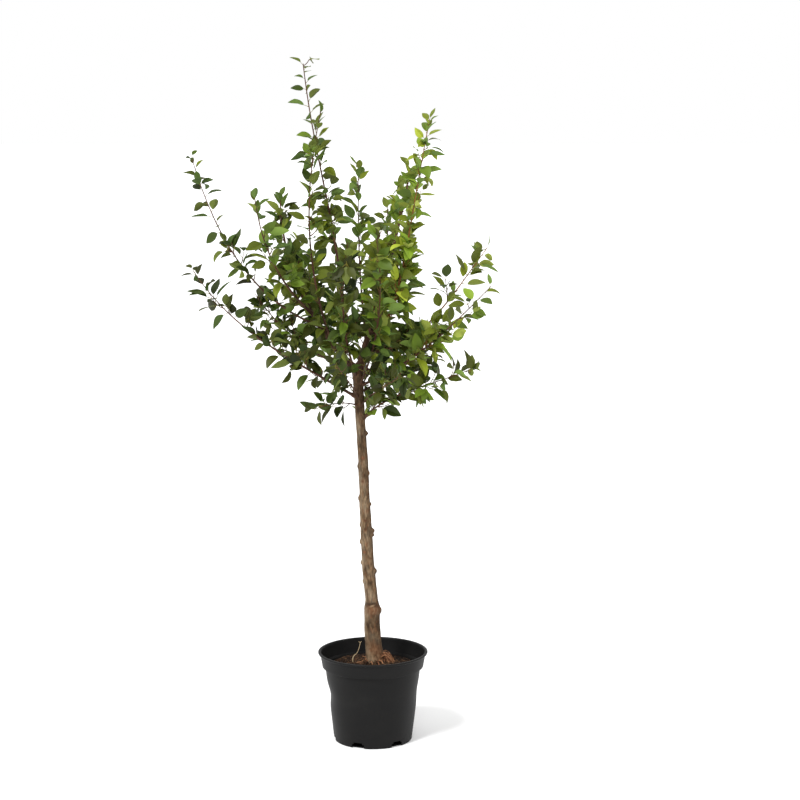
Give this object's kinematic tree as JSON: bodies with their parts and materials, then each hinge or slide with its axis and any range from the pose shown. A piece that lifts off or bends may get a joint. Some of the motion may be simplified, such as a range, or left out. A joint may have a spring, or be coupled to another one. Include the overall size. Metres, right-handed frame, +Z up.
{
  "type": "potted apple tree",
  "caption": "Young apple tree on a clear leaning stem with an open crown of leafy upright shoots, planted in a round tapered nursery pot with a rolled rim and drain notches.",
  "frame": {"origin": "centre of the flat underside of the pot, on the surface it stands on", "axes": "+Z up, +X to the right and -Y towards the viewer when seen from the front, where the tallest shoots stand left of the trunk"},
  "size_m": [0.8505, 0.6293, 1.898],
  "materials": {
    "pot": "satin charcoal moulded plastic",
    "compost": "damp bark compost",
    "roots": "dry fibrous roots",
    "bark": "brown bark with grey patches and knots",
    "bough_bark": "smooth reddish brown young bark",
    "foliage": "green leaves, slightly glossy above"
  },
  "bodies": {
    "root": {"pot": "pot", "compost": "compost", "surface_roots": "roots", "trunk": "bark", "bough_left": "bough_bark", "bough_right": "bough_bark", "bough_leader": "bough_bark", "bough_second": "bough_bark", "bough_middle": "bough_bark", "bough_right_upright": "bough_bark", "bough_right_reach": "bough_bark", "bough_right_fork": "bough_bark", "bough_low_right": "bough_bark", "bough_low_right_back": "bough_bark", "bough_low_left": "bough_bark", "bough_left_mid": "bough_bark", "bough_left_reach": "bough_bark", "bough_left_upper": "bough_bark", "bough_low_left_front": "bough_bark", "bough_front": "bough_bark", "bough_front_left": "bough_bark", "bough_front_low": "bough_bark", "bough_front_right": "bough_bark", "bough_back": "bough_bark", "bough_back_right": "bough_bark", "bough_back_left": "bough_bark", "bough_back_low": "bough_bark", "foliage_left_low": "foliage", "foliage_left_top": "foliage", "foliage_right_low": "foliage", "foliage_right_top": "foliage", "foliage_leader_low": "foliage", "foliage_leader_top": "foliage", "foliage_second": "foliage", "foliage_middle": "foliage", "foliage_right_upright_low": "foliage", "foliage_right_upright_top": "foliage", "foliage_right_inner": "foliage", "foliage_right_reach_low": "foliage", "foliage_right_reach_tip": "foliage", "foliage_right_fork_low": "foliage", "foliage_right_fork_tip": "foliage", "foliage_low_right": "foliage", "foliage_low_right_back": "foliage", "foliage_low_left": "foliage", "foliage_far_left": "foliage", "foliage_left_mid": "foliage", "foliage_left_reach_low": "foliage", "foliage_left_reach_tip": "foliage", "foliage_left_upper": "foliage", "foliage_low_left_front": "foliage", "foliage_front": "foliage", "foliage_front_left": "foliage", "foliage_front_low": "foliage", "foliage_front_right": "foliage", "foliage_back": "foliage", "foliage_back_right": "foliage", "foliage_back_left": "foliage", "foliage_back_low": "foliage"}
  },
  "joints": []
}
